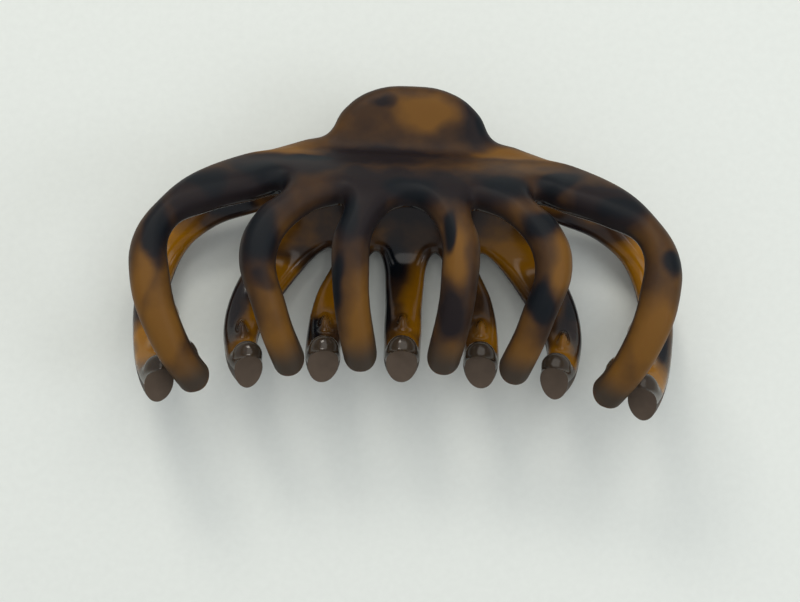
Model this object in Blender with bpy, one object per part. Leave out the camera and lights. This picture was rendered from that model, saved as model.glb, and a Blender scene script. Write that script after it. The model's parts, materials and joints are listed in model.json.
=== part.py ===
"""Claw hair clip: two sprung comb halves whose prongs interlace.

Clip frame: X runs along the hinge pin, +Y points from the prong tips to the thumb tabs, and +Z
points out through the front half. The pin runs through the origin. Each half is drawn flat, as
an outline with rounded edges, and is then bent along one side profile that both halves share.
The finished clip lies on its back half, on Z = 0.
"""
import math

import bmesh
import bpy
import numpy as np
from mathutils import Matrix, Vector

MM = 0.001

# Overall sizes: the width of each moulded half, how far its middle prongs reach as a share of the
# profile below, and how much further its outer prongs reach
FRONT_WIDTH = 0.1062
BACK_WIDTH = 0.1106
FRONT_REACH = 1.0
BACK_REACH = 1.045
FRONT_STRETCH = 0.27
BACK_STRETCH = 0.195

# Section of the mouldings: dome outside and inside the parting surface, and rounding in plan
OUTER_THICKNESS = 0.0039
INNER_THICKNESS = 0.0024
PRONG_WIDTH = 0.0073
EDGE_ROUND = 0.0029
TAB_THINNING = 0.70
TAB_THINS = (-0.005, 0.003)
TIP_THINNING = 0.90
TIP_THINS = (0.030, 0.055)
CROTCH_ROUND = 0.0011

# Hinge: pin, lugs and the torsion spring on the pin
PIN_RADIUS = 0.0010
PIN_CLEARANCE = 0.0001
PIN_HEAD_RIM = 0.0007
PIN_HEAD_LENGTH = 0.0007
LUG_WALL = 0.0019
LUG_THICKNESS = 0.0024
LUG_BASE = 0.0072
SIDE_GAP = 0.0003
WIRE_DIAMETER = 0.0011
COIL_CLEARANCE = 0.00045
COIL_TURNS = 6
TURN_GAP = 0.0001
COIL_END_GAP = 0.00043
LEG_LENGTH = 0.0100
LEG_GAP = 0.00043

# Side profile: arcs away from the waist, as (length, turn in degrees)
TAB_ARCS = ((0.0031, 24.0), (0.0300, 0.0))
PRONG_ARCS = ((0.0059, 46.0), (0.0037, 0.0), (0.0095, -46.0), (0.0460, -98.0))
TIP_GAP = 0.0008

# Grip teeth on the inner faces of the prongs
TOOTH_LENGTH = 0.0044
TOOTH_WIDTH = 0.0025
TOOTH_HEIGHT = 0.0012
TOOTH_FROM_TIP = 0.0115

# Fineness of the solids
OUTLINE_STEPS = 4
EDGE_STEPS = 1
STRIP = 0.0026
STRIP_SNAP = 0.0003

# Right side of each flat outline, in millimetres, from the top of the thumb tab to the centre
# line: X across, Y along the profile with the waist at 0. CROTCH marks where two prongs part.
# The outlines are drawn for these widths, and a half that is made wider or narrower has its
# prongs and their rounding stretched with it.
DRAWN_FRONT_WIDTH = 0.1062
DRAWN_BACK_WIDTH = 0.1106
DRAWN_PRONG_WIDTH = 0.0073
CROTCH = True
TAB_EDGE = ((0, 14.6), (8.3, 13.3), (13.6, 9.4), (16.8, 4.3))
FRONT_OUTLINE = TAB_EDGE + (
    (21.3, 2.9), (31, -1.6), (39.2, -8.9), (47.9, -18.4),
    (52.8, -26.5), (52.9, -35.5), (49.4, -46), (41.8, -60), (33.2, -80), (34.9, -60),
    (41.6, -46), (45.3, -33.5), (45.2, -24.4), (38.5, -19.9), (30, -16.2),
    (24.3, -14, CROTCH),
    (29.2, -20), (32.3, -28), (29.2, -39.5), (24.2, -54.5), (20.3, -70), (18.2, -54.5),
    (22.6, -38.5), (24.9, -28.2), (20.6, -20.8),
    (12.6, -17, CROTCH),
    (14.2, -24), (14.2, -32), (10.7, -53), (7.4, -69), (4.7, -53),
    (6.9, -31.5), (5.7, -21.3),
    (0, -16.8),
)
BACK_OUTLINE = TAB_EDGE + (
    (21.3, 3), (31.5, 0.6), (41.3, -4.6), (50.2, -14.4),
    (54.8, -25), (54.9, -36), (50, -60), (45.8, -76), (43.8, -60),
    (48, -36), (46.9, -20), (40, -11.6), (31, -7.6),
    (25.5, -6.6, CROTCH),
    (31.9, -17.6), (36.2, -30), (35.4, -43), (33, -55), (29.6, -71), (26.8, -55),
    (29, -36), (24.3, -24.2),
    (15.2, -14.8, CROTCH),
    (18.2, -26), (19.4, -38), (18.9, -53), (15.4, -69), (12, -53),
    (12.2, -38), (10.7, -24.5),
    (6, -15, CROTCH),
    (4, -23), (3.8, -37), (3.4, -53),
    (0, -69),
)

# Middle line of each prong along its grip tooth: X in millimetres at the broad end and at the tail
FRONT_TEETH = ((9.6, 10.3), (24.8, 26.3), (44.6, 46.4))
BACK_TEETH = ((0, 0), (15.7, 15.8), (32, 32.6), (49.2, 50.2))

# Worked out from the sizes above: the coil clears the pin, the lugs clear the coil, and the
# waist of each half leaves room for the spring's legs under the thumb tabs
COIL_RADIUS = PIN_RADIUS + COIL_CLEARANCE + WIRE_DIAMETER / 2.0
TAB_SLOPE = math.radians(TAB_ARCS[0][1])
COIL_SWEEP = 2.0 * math.pi * COIL_TURNS + math.pi - 2.0 * TAB_SLOPE
COIL_HALF_LENGTH = (WIRE_DIAMETER + TURN_GAP) * COIL_SWEEP / (4.0 * math.pi)
FRONT_LUG_PLACE = COIL_HALF_LENGTH + WIRE_DIAMETER / 2.0 + COIL_END_GAP + LUG_THICKNESS / 2.0
BACK_LUG_PLACE = FRONT_LUG_PLACE + LUG_THICKNESS + SIDE_GAP
LUG_RADIUS = PIN_RADIUS + PIN_CLEARANCE + LUG_WALL
TAB_BEND_RADIUS = TAB_ARCS[0][0] / TAB_SLOPE
LEG_ROOM = COIL_RADIUS + WIRE_DIAMETER / 2.0 + LEG_GAP + INNER_THICKNESS * TAB_THINNING
WAIST_OFFSET = (LEG_ROOM - TAB_BEND_RADIUS * (math.cos(TAB_SLOPE) - 1.0)) / math.cos(TAB_SLOPE)


def clear_scene():
    """Remove every object that is in the scene."""
    for item in list(bpy.data.objects):
        bpy.data.objects.remove(item, do_unlink=True)


def make_material(name, colour, roughness, metallic=0.0):
    """A Principled material for one piece."""
    material = bpy.data.materials.new(name)
    material.use_nodes = True
    shader = material.node_tree.nodes["Principled BSDF"]
    shader.inputs["Base Color"].default_value = (*colour, 1.0)
    shader.inputs["Roughness"].default_value = roughness
    shader.inputs["Metallic"].default_value = metallic
    return material


def add_object(name, mesh, parent=None, material=None):
    """Link a new object, under its parent empty, with its material."""
    item = bpy.data.objects.new(name, mesh)
    bpy.context.scene.collection.objects.link(item)
    item.parent = parent
    if material:
        mesh.materials.clear()
        mesh.materials.append(material)
    return item


def add_helper(name, mesh, parent):
    """An object that only shapes another one."""
    item = add_object(name, mesh, parent)
    item.hide_render = True
    item.display_type = "WIRE"
    return item


def mesh_from_curve(curve):
    """The mesh of a curve, with its parts welded and its faces turned outwards."""
    item = bpy.data.objects.new(curve.name, curve)
    bpy.context.scene.collection.objects.link(item)
    bpy.context.view_layer.update()
    evaluated = item.evaluated_get(bpy.context.evaluated_depsgraph_get())
    mesh = bpy.data.meshes.new_from_object(evaluated)
    bpy.data.objects.remove(item, do_unlink=True)
    shape = bmesh.new()
    shape.from_mesh(mesh)
    bmesh.ops.remove_doubles(shape, verts=shape.verts, dist=0.00001)
    bmesh.ops.recalc_face_normals(shape, faces=shape.faces)
    shape.to_mesh(mesh)
    shape.free()
    return mesh


def smooth_step(value, start, end):
    """0 before start, 1 after end, smooth between."""
    share = min(max((value - start) / (end - start), 0.0), 1.0)
    return share * share * (3.0 - 2.0 * share)


def walk(arcs, distance):
    """Way along, way out and slope after a distance along a run of arcs."""
    along = out = slope = 0.0
    for length, turn in arcs:
        step = min(length, distance)
        change = math.radians(turn) * step / length
        if turn:
            radius = length / math.radians(turn)
            along += radius * (math.sin(slope + change) - math.sin(slope))
            out += radius * (math.cos(slope) - math.cos(slope + change))
        else:
            along += step * math.cos(slope)
            out += step * math.sin(slope)
        slope += change
        distance -= step
        if distance <= 0.0:
            break
    return along, out, slope


def reach_at(x, facing):
    """How far the prongs of one half reach at a place across the clip."""
    reach = FRONT_REACH if facing > 0.0 else BACK_REACH
    stretch = FRONT_STRETCH if facing > 0.0 else BACK_STRETCH
    return reach * (1.0 + stretch * (2.0 * x / BACK_WIDTH) ** 2)


def bend(point, facing):
    """Move a point of the flat comb to its place on the bent one."""
    x, s, depth = point
    depth *= 1.0 - (1.0 - TAB_THINNING) * smooth_step(s, *TAB_THINS)
    depth *= 1.0 - (1.0 - TIP_THINNING) * smooth_step(-s, *TIP_THINS)
    if s >= 0.0:
        along, out, slope = walk(TAB_ARCS, s)
        height = WAIST_OFFSET + out + depth * math.cos(slope)
        return Vector((x, along - depth * math.sin(slope), height * facing))
    reach = reach_at(x, facing)
    along, out, slope = walk(PRONG_ARCS, -s / reach)
    height = WAIST_OFFSET + out + depth * math.cos(slope)
    return Vector((x, -along * reach + depth * math.sin(slope), height * facing))


def crotch_nodes(before, apex, after):
    """Three nodes that round the crotch between two prongs."""
    inwards = ((before - apex).normalized() + (after - apex).normalized()).normalized()
    across = ((after - apex).normalized() - (before - apex).normalized()).normalized()
    radius = CROTCH_ROUND / MM
    centre = apex + inwards * radius
    return [centre - across * radius, apex, centre + across * radius]


def flat_outline(name, outline):
    """A filled curve with rounded edges, closed by mirroring one side of its outline."""
    right = []
    for before, point, after in zip(outline[:1] + outline, outline, outline[1:] + outline[-1:]):
        place = Vector(point[:2])
        if len(point) > 2:
            right += crotch_nodes(Vector(before[:2]), place, Vector(after[:2]))
        else:
            right.append(place)
    right = [place * MM for place in right]
    nodes = right + [Vector((-place.x, place.y)) for place in reversed(right) if place.x > 0.0]
    curve = bpy.data.curves.new(name, "CURVE")
    curve.dimensions = "2D"
    curve.fill_mode = "BOTH"
    curve.resolution_u = OUTLINE_STEPS
    curve.bevel_depth = EDGE_ROUND
    curve.bevel_resolution = EDGE_STEPS
    curve.offset = (PRONG_WIDTH - DRAWN_PRONG_WIDTH) / 2.0 - EDGE_ROUND
    spline = curve.splines.new("BEZIER")
    spline.bezier_points.add(len(nodes) - 1)
    spline.use_cyclic_u = True
    for point, place in zip(spline.bezier_points, nodes):
        point.co = (place.x, place.y, 0.0)
        point.handle_left_type = point.handle_right_type = "AUTO"
    return curve


def cut_into_strips(shape):
    """Divide the two flat faces across the profile, so that they can bend."""
    first = math.ceil(min(vert.co.y for vert in shape.verts) / STRIP)
    last = math.floor(max(vert.co.y for vert in shape.verts) / STRIP)
    for index in range(first, last + 1):
        flat = [face for face in shape.faces if abs(face.normal.z) > 0.999]
        edges = {edge for face in flat for edge in face.edges}
        bmesh.ops.bisect_plane(shape, geom=flat + list(edges), dist=STRIP_SNAP,
                               plane_co=(0.0, index * STRIP, 0.0), plane_no=(0.0, 1.0, 0.0))
    flat = {face for face in shape.faces if abs(face.normal.z) > 0.999}
    slanted = [edge for edge in shape.edges
               if all(face in flat for face in edge.link_faces)
               and abs(edge.verts[0].co.y - edge.verts[1].co.y) > 2.0 * STRIP_SNAP]
    bmesh.ops.dissolve_edges(shape, edges=slanted, use_verts=False)
    flat = [face for face in shape.faces if abs(face.normal.z) > 0.999]
    bmesh.ops.triangulate(shape, faces=flat, ngon_method="BEAUTY")


def comb_mesh(name, outline, scale, facing):
    """One moulded comb: the flat outline, given its two domes, bent, and cut at its tips."""
    mesh = mesh_from_curve(flat_outline(name, outline))
    shape = bmesh.new()
    shape.from_mesh(mesh)
    cut_into_strips(shape)
    for vert in shape.verts:
        thickness = OUTER_THICKNESS if vert.co.z > 0.0 else INNER_THICKNESS
        vert.co.x *= scale
        vert.co.z *= thickness / EDGE_ROUND
        vert.co = bend(vert.co, facing)
    cut = bmesh.ops.bisect_plane(
        shape, geom=shape.verts[:] + shape.edges[:] + shape.faces[:], clear_inner=True,
        plane_co=(0.0, 0.0, TIP_GAP / 2.0 * facing), plane_no=(0.0, 0.0, facing))
    rims = [part for part in cut["geom_cut"] if isinstance(part, bmesh.types.BMEdge)]
    bmesh.ops.edgenet_fill(shape, edges=rims)
    bmesh.ops.recalc_face_normals(shape, faces=shape.faces)
    shape.to_mesh(mesh)
    shape.free()
    return mesh


def lug_mesh(name, place, facing):
    """A pair of lugs: plates with a round end about the pin, and a hole for the pin."""
    curve = bpy.data.curves.new(name, "CURVE")
    curve.dimensions = "2D"
    curve.fill_mode = "BOTH"
    curve.extrude = LUG_THICKNESS / 2.0
    sides = 16
    arc = [math.pi + math.pi * index / sides for index in range(sides + 1)]
    plate = [(LUG_RADIUS * math.cos(a), LUG_RADIUS * math.sin(a)) for a in arc]
    plate += [(LUG_BASE / 2.0, WAIST_OFFSET), (-LUG_BASE / 2.0, WAIST_OFFSET)]
    hole_radius = PIN_RADIUS + PIN_CLEARANCE
    turn = [2.0 * math.pi * index / 24 for index in range(24)]
    hole = [(hole_radius * math.cos(a), hole_radius * math.sin(a)) for a in turn]
    for points in (plate, hole):
        spline = curve.splines.new("POLY")
        spline.points.add(len(points) - 1)
        spline.use_cyclic_u = True
        for point, (y, z) in zip(spline.points, points):
            point.co = (y, z * facing, 0.0, 1.0)
    mesh = mesh_from_curve(curve)
    shape = bmesh.new()
    for side in (-1.0, 1.0):
        start = len(shape.verts)
        shape.from_mesh(mesh)
        shape.verts.ensure_lookup_table()
        for vert in shape.verts[start:]:
            vert.co = Vector((vert.co.z + side * place, vert.co.x, vert.co.y))
    bmesh.ops.recalc_face_normals(shape, faces=shape.faces)
    shape.to_mesh(mesh)
    shape.free()
    return mesh


def tip_distance(x, facing):
    """Flat distance from the waist to where the middle of a prong reaches the tip plane."""
    distance = sum(length for length, turn in PRONG_ARCS[:-1])
    while WAIST_OFFSET + walk(PRONG_ARCS, distance)[1] > TIP_GAP / 2.0:
        distance += 0.0001
    return distance * reach_at(x, facing)


def tooth_mesh(name, places, scale, facing):
    """Grip teeth: narrow wedges that rise from the inner face towards the tips."""
    shape = bmesh.new()
    root = -INNER_THICKNESS * 0.5
    crest = -INNER_THICKNESS - TOOTH_HEIGHT
    half = TOOTH_WIDTH / 2.0
    for broad, tail in [(-b, -t) for b, t in places if b > 0] + list(places):
        broad *= MM * scale
        tail *= MM * scale
        low = TOOTH_FROM_TIP - tip_distance(broad, facing)
        high = low + TOOTH_LENGTH
        flat = ((broad - half, low, root), (broad + half, low, root),
                (tail + half * 0.4, high, root), (tail - half * 0.4, high, root),
                (broad - half * 0.5, low + half * 0.6, crest),
                (broad + half * 0.5, low + half * 0.6, crest),
                (tail, high, root))
        verts = [shape.verts.new(bend(point, facing)) for point in flat]
        bmesh.ops.convex_hull(shape, input=verts)
    mesh = bpy.data.meshes.new(name)
    shape.to_mesh(mesh)
    shape.free()
    return mesh


def join_to(item, helper):
    """Boolean union of a helper into an object."""
    modifier = item.modifiers.new(helper.name, "BOOLEAN")
    modifier.operation = "UNION"
    modifier.solver = "EXACT"
    modifier.object = helper


def make_half(name, outline, scale, facing, lug_place, teeth, parent):
    """One half of the clip: the comb with its grip teeth and its two lugs."""
    material = make_material(name + "_acetate", (0.20, 0.10, 0.03), 0.35)
    half = add_object(name, comb_mesh(name, outline, scale, facing), parent, material)
    half.data.shade_smooth()
    half.data.set_sharp_from_angle(angle=math.radians(40.0))
    join_to(half, add_helper(name + "_lugs", lug_mesh(name, lug_place, facing), parent))
    join_to(half, add_helper(name + "_teeth", tooth_mesh(name, teeth, scale, facing), parent))
    return half


def make_pin(parent):
    """Hinge pin: a steel shaft with a low head outside each of the back half's lugs."""
    neck = BACK_LUG_PLACE + LUG_THICKNESS / 2.0 + SIDE_GAP
    end = neck + PIN_HEAD_LENGTH
    rim = PIN_RADIUS + PIN_HEAD_RIM
    profile = ((-end, 0.0), (-end, PIN_RADIUS), (-neck - PIN_HEAD_LENGTH / 2.0, rim), (-neck, rim),
               (-neck, PIN_RADIUS))
    profile += tuple((-x, r) for x, r in reversed(profile))
    shape = bmesh.new()
    verts = [shape.verts.new((x, r, 0.0)) for x, r in profile]
    edges = [shape.edges.new(pair) for pair in zip(verts, verts[1:])]
    bmesh.ops.spin(shape, geom=verts + edges, cent=(0.0, 0.0, 0.0), axis=(1.0, 0.0, 0.0),
                   angle=2.0 * math.pi, steps=24, use_duplicate=False)
    bmesh.ops.remove_doubles(shape, verts=shape.verts, dist=0.00001)
    bmesh.ops.recalc_face_normals(shape, faces=shape.faces)
    mesh = bpy.data.meshes.new("hinge_pin")
    shape.to_mesh(mesh)
    shape.free()
    mesh.shade_smooth()
    mesh.set_sharp_from_angle(angle=math.radians(35.0))
    material = make_material("pin_steel", (0.62, 0.62, 0.6), 0.3, 1.0)
    return add_object("hinge_pin", mesh, parent, material)


def spring_path():
    """Leg on the front tab, coil round the pin, leg on the back tab."""
    start = math.pi / 2.0 + TAB_SLOPE
    steps = COIL_TURNS * 16
    coil = []
    for index in range(steps + 1):
        share = index / steps
        angle = start + COIL_SWEEP * share
        coil.append(Vector((COIL_HALF_LENGTH * (1.0 - 2.0 * share),
                            COIL_RADIUS * math.cos(angle), COIL_RADIUS * math.sin(angle))))
    front_run = Vector((0.0, math.cos(TAB_SLOPE), math.sin(TAB_SLOPE))) * LEG_LENGTH
    back_run = Vector((0.0, front_run.y, -front_run.z))
    front_leg = [coil[0] + front_run * share for share in (1.0, 0.66, 0.33)]
    back_leg = [coil[-1] + back_run * share for share in (0.33, 0.66, 1.0)]
    return front_leg + coil + back_leg


def make_spring(parent):
    """Torsion spring of round steel wire."""
    curve = bpy.data.curves.new("torsion_spring", "CURVE")
    curve.dimensions = "3D"
    curve.bevel_depth = WIRE_DIAMETER / 2.0
    curve.bevel_resolution = 2
    curve.use_fill_caps = True
    spline = curve.splines.new("POLY")
    path = spring_path()
    spline.points.add(len(path) - 1)
    for point, place in zip(spline.points, path):
        point.co = (*place, 1.0)
    mesh = mesh_from_curve(curve)
    mesh.shade_smooth()
    return add_object("torsion_spring", mesh, parent,
                      make_material("spring_steel", (0.55, 0.55, 0.56), 0.32, 1.0))


def lay_down(frame, pieces):
    """Tilt the clip until its back half rests on two lines, then set it on Z = 0, centred."""
    bpy.context.view_layer.update()
    graph = bpy.context.evaluated_depsgraph_get()
    corners = []
    for piece in pieces:
        corners += [tuple(vert.co) for vert in piece.evaluated_get(graph).to_mesh().vertices]
    places = np.array(corners)
    tab = places[places[:, 1] > LUG_RADIUS]
    prongs = places[places[:, 1] < -LUG_RADIUS]
    tilt = 0.0
    for repeat in range(8):
        turned_tab = tab[:, 1] * math.sin(tilt) + tab[:, 2] * math.cos(tilt)
        turned_prongs = prongs[:, 1] * math.sin(tilt) + prongs[:, 2] * math.cos(tilt)
        low_tab = tab[turned_tab.argmin()]
        low_prong = prongs[turned_prongs.argmin()]
        tilt = math.atan2(low_prong[2] - low_tab[2], low_tab[1] - low_prong[1])
    turn = np.array(Matrix.Rotation(tilt, 3, "X"))
    placed = places @ turn.T
    low = placed.min(axis=0)
    high = placed.max(axis=0)
    frame.rotation_euler = (tilt, 0.0, 0.0)
    frame.location = (-(low[0] + high[0]) / 2.0, -(low[1] + high[1]) / 2.0, -low[2])


def main():
    """Build the clip."""
    clear_scene()
    frame = bpy.data.objects.new("clip_frame", None)
    bpy.context.scene.collection.objects.link(frame)
    front = make_half("front_half", FRONT_OUTLINE, FRONT_WIDTH / DRAWN_FRONT_WIDTH, 1.0,
                      FRONT_LUG_PLACE, FRONT_TEETH, frame)
    back = make_half("back_half", BACK_OUTLINE, BACK_WIDTH / DRAWN_BACK_WIDTH, -1.0,
                     BACK_LUG_PLACE, BACK_TEETH, frame)
    pin = make_pin(frame)
    spring = make_spring(frame)
    lay_down(frame, (front, back, pin, spring))


main()
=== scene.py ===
"""Claw hair clip: two tortoiseshell comb halves on a sprung steel hinge, built round its frame.

Clip frame: X runs along the hinge pin, +Y points from the prong tips to the thumb tabs, and +Z
points out through the front half. The pin runs through the origin. Each half is drawn flat, is
given its domed section there, and is then bent along a side profile that both halves share.
"""
import json
import math

import bmesh
import bpy
import numpy as np
from bpy.props import FloatProperty, FloatVectorProperty, IntProperty, PointerProperty
from mathutils import Matrix, Vector, noise


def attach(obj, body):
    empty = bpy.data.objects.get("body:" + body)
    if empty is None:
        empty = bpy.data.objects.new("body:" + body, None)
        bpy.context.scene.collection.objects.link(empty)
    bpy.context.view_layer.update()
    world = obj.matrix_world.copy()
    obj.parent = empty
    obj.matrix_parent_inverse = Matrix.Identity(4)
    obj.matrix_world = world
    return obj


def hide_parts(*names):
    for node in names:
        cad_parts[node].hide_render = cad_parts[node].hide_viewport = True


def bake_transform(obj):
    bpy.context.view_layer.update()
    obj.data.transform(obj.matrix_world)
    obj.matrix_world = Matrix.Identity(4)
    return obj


bl_info = {
    "name": "Claw hair clip",
    "version": (1, 0, 0),
    "blender": (4, 5, 0),
    "location": "View3D > Sidebar > Claw clip",
    "description": "Builds a large tortoiseshell claw clip piece by piece round its frame",
    "category": "Add Mesh",
}

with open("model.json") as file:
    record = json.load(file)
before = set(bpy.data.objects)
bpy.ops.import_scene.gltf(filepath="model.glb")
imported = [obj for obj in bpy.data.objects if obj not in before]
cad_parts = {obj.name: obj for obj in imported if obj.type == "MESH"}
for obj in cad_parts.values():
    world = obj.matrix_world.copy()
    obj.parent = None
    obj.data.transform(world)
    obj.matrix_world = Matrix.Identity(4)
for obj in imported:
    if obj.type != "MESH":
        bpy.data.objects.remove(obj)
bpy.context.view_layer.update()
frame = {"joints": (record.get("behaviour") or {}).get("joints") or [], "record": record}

MM = 0.001

# Places of the two inputs, the share and the result on a colour Mix node
MIX_SHARE = 0
MIX_FIRST = 6
MIX_SECOND = 7
MIX_RESULT = 2

# Points of a curve that are closer than this are welded
WELD = 0.00001

# The inner dome is flatter than a true ellipse: the power that its height is raised to
INNER_FLATNESS = 0.65

# Shares of the inner dome at which the middles of the knobs and of the teeth lie
KNOB_SUNK = 0.7
TOOTH_SUNK = 0.9
# How much a tooth narrows and flattens along the prong
TOOTH_TAPER = (0.7, 0.6)

# Rounds of smoothing: of the bare comb, and again with its knobs and teeth on
COMB_ROUNDS = 12
KNOB_ROUNDS = 8

# Faces that lie deeper in the section than this are polished, like the inside
PARTING_DEPTH = -0.0003
# A face this close to the tip plane is a sawn one, which has the third finish of a half
ON_PLANE = 0.00001
SAWN_FINISH = 2
# A point this close to the tip plane counts as on it when the prongs are cut
CUT_REACH = 0.000001
# Edges that turn by more than this stay crisp, on the combs and on the steel
CRISP_COMB = math.radians(55.0)
CRISP_STEEL = math.radians(40.0)

# Side profile: arcs away from the waist, as (length, turn in degrees)
TAB_ARCS = ((0.0031, 24.0), (0.0300, 0.0))
PRONG_ARCS = ((0.0059, 46.0), (0.0037, 0.0), (0.0095, -46.0), (0.0520, -110.8))
TAB_SLOPE = math.radians(TAB_ARCS[0][1])
WAIST_OFFSET = 0.0058
TIP_GAP = 0.0008

# The real moulding runs softly from the tab into the prongs: the profile is blurred over this
# distance, about this place, out to this far from it
WAIST_BLUR = 0.0035
WAIST_BLUR_STEPS = 9
WAIST_MIDDLE = -0.004
WAIST_REGION = (0.007, 0.015)

# How far the middle prongs of each half reach, as a share of the profile, and how much further
# the outer ones reach at the full width
FRONT_REACH = (1.0, 0.27)
BACK_REACH = (1.045, 0.195)
STRETCH_WIDTH = 0.1106
# Flat distances from the waist between which a tip is looked for, and how many are tried
TIP_SEARCH = (0.02, 0.07, 2001)

# The section thins on the thumb tab and towards the tips: share left, and where it changes
TAB_THINS = (0.70, -0.005, 0.003)
TIP_THINS = (0.90, 0.030, 0.055)

# Right side of each flat outline, in millimetres, from the top of the thumb tab to the centre
# line: X across, Y along the profile with the waist at 0. CROTCH marks where two prongs part.
CROTCH = True
DRAWN_PRONG_WIDTH = 0.0073
TAB_EDGE = ((0, 14.6), (8.3, 13.3), (13.6, 9.4), (16.8, 4.3))
FRONT_OUTLINE = TAB_EDGE + (
    (21.3, 2.9), (31, -1.6), (39.2, -8.9), (47.9, -18.4),
    (52.8, -26.5), (52.9, -35.5), (49.4, -46), (41.8, -60), (33.2, -80), (34.9, -60),
    (41.6, -46), (45.3, -33.5), (45.2, -24.4), (38.5, -19.9), (30, -16.2),
    (24.3, -14, CROTCH),
    (29.2, -20), (32.3, -28), (29.2, -39.5), (24.2, -54.5), (20.3, -70), (18.2, -54.5),
    (22.6, -38.5), (24.9, -28.2), (20.6, -20.8),
    (12.6, -17, CROTCH),
    (14.2, -24), (14.2, -32), (10.7, -53), (7.4, -69), (4.7, -53),
    (6.9, -31.5), (5.7, -21.3),
    (0, -16.8),
)
BACK_OUTLINE = TAB_EDGE + (
    (21.3, 3), (31.5, 0.6), (41.3, -4.6), (50.2, -14.4),
    (54.8, -25), (54.9, -36), (49.8, -59), (46.2, -71), (44.2, -59),
    (48, -36), (46.9, -20), (40, -11.6), (31, -7.6),
    (25.5, -6.6, CROTCH),
    (31.9, -17.6), (36.2, -30), (35.4, -43), (32.8, -53), (29.6, -64), (27.2, -53),
    (29, -36), (24.3, -24.2),
    (15.2, -14.8, CROTCH),
    (18.2, -26), (19.4, -38), (18.5, -51), (15.4, -62), (12.4, -51),
    (12.2, -38), (10.7, -24.5),
    (6, -15, CROTCH),
    (4, -23), (3.8, -37), (3.1, -50),
    (0, -61),
)

# Middle of each prong at its tip, and its middle line along the grip tooth, in millimetres
FRONT_TIPS = (8.3, 22.3, 40.8)
BACK_TIPS = (0, 15.5, 30.2, 47.4)
FRONT_TEETH = ((9.6, 10.3), (24.8, 26.3), (44.0, 45.9))
BACK_TEETH = ((0, 0), (15.7, 15.8), (32, 32.6), (49.2, 50.2))

# Dark blotches of the sheet, on the flat outline in millimetres: X, Y, half width, half length
FRONT_BLOTCHES = (
    (-39.5, -16, 5.5, 3), (-28, -13, 5.5, 2.8), (-48, -26, 2.6, 5.5), (-28.8, -25.5, 3.6, 6),
    (-11, -20.5, 2.6, 3.8), (-12.8, -33, 1.5, 5.5), (0.5, -15, 7, 2.6), (7.8, -23, 1.3, 3.6),
    (18.5, -14.5, 4.6, 2.6), (30, -12.3, 4.6, 2.2), (41, -18.6, 5, 2.2), (26.2, -21, 3.6, 2.6),
    (26.6, -36, 2, 4.6), (51.2, -29, 2.2, 2), (15.2, 8.5, 2.4, 4.6), (-45.5, -58, 1.2, 3),
    (-20, -7.5, 6, 1.8),
)
BACK_BLOTCHES = (
    (-36, -6.5, 4.6, 1.8), (-17.8, -38, 1.4, 4), (-11, -14.5, 2.2, 4), (-2.2, -17, 2.6, 6),
    (-3.4, -31, 1.2, 7), (34.8, -28, 1.8, 3.5), (-52.8, -31, 2, 3.4), (-46.8, -49, 1.4, 4),
    (52.4, -37, 1.6, 4), (12, 7, 4.4, 3.4), (-9, 9, 3.6, 2.2), (28, -50, 1.4, 3.4),
)
# Broad smoky bands, in the same way: partly the sheet's own smoke, while the wide bands across the
# waist are painted shade on the bend
FRONT_SMOKE_AND_SHADE = (
    (-6, -4.5, 18, 5), (-24, -9, 12, 4), (8, -14, 16, 4), (14, 7, 4, 8), (-36, -17, 10, 5),
    (38, -18, 9, 4), (-10, -18, 5, 8), (-27, -33.5, 2, 1.6), (-5.5, 11.5, 2, 1.2),
    (-30, -11, 8, 4), (9, -38, 3, 5),
)
BACK_SMOKE_AND_SHADE = (
    (0, -4, 14, 4), (-20, -14, 8, 5), (30, -9, 10, 3), (-34, -32, 3, 9), (35, -32, 3, 9),
)
# Clear honey clouds in between, in the same way
FRONT_CLOUDS = (
    (-46, -44, 4, 9), (-41, -56, 4, 8), (-25, -46, 4, 11), (-8.5, -44, 3.5, 12), (9, -52, 3, 7),
    (23, -50, 4, 9), (41, -55, 6, 11), (47.5, -44, 4.5, 8), (3.5, 9.4, 5.5, 2.6),
    (21.5, -0.5, 8, 2.4), (-25, -2.5, 8, 3), (31, -29, 2.2, 5), (-50.5, -36, 2.4, 6),
    (10, -28, 2, 4),
)
BACK_CLOUDS = (
    (-48.5, -18, 6, 8), (-24, -12, 10, 4), (-24, -26, 5, 8), (2.2, -28, 2.4, 10),
    (1, -45, 3, 7), (-15.5, -28, 3, 7), (48.5, -20, 6, 9), (24, -14, 9, 6), (17.5, -40, 3, 6),
    (32, -44, 3, 6), (-30.5, -46, 3, 7), (-31, -34, 2, 5), (50, -50, 3, 6), (0, 8, 6, 3),
    (-51, -42, 2.4, 6),
)

# The edges of all these spots wander by this much, by a noise of this scale
SPOT_WANDER = 0.0016
SPOT_WANDER_SCALE = 190.0
# Seed of the wander, and how soft the edge is, as a share of the spot
BLOTCH_EDGE = (3, 0.75)
SMOKE_AND_SHADE_EDGE = (5, 0.6)
CLOUD_EDGE = (7, 0.75)

# The pattern that the lugs are given: smoky, finished like the inside and far from any tip
LUG_DEPTH = -0.002
LUG_PATTERN = (("dark", 0.0), ("smoke", 1.0), ("warm", 0.0), ("from_tip", 0.05))
LUG_STEPS = 32
BORE_STEPS = 48

# How dark the darkest clouds of the sawn ends and marks of the paper are, as a share
SAWN_SHADE = 0.72
PAPER_SHADE = 0.97

# Gap between two turns of the spring, points to a turn, and the places of points on a leg
TURN_GAP = 0.0001
TURN_POINTS = 36
LEG_STEPS = (0.2, 0.4, 0.6, 0.8, 1.0)

# A pin head: the angle at which its dome starts, its underside as a share of its radius, and
# the steps of the dome and round the pin
HEAD_START = 0.25
HEAD_UNDERSIDE = 0.94
HEAD_STEPS = 9
PIN_STEPS = 64
PIN_WELD = 0.000005

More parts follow.
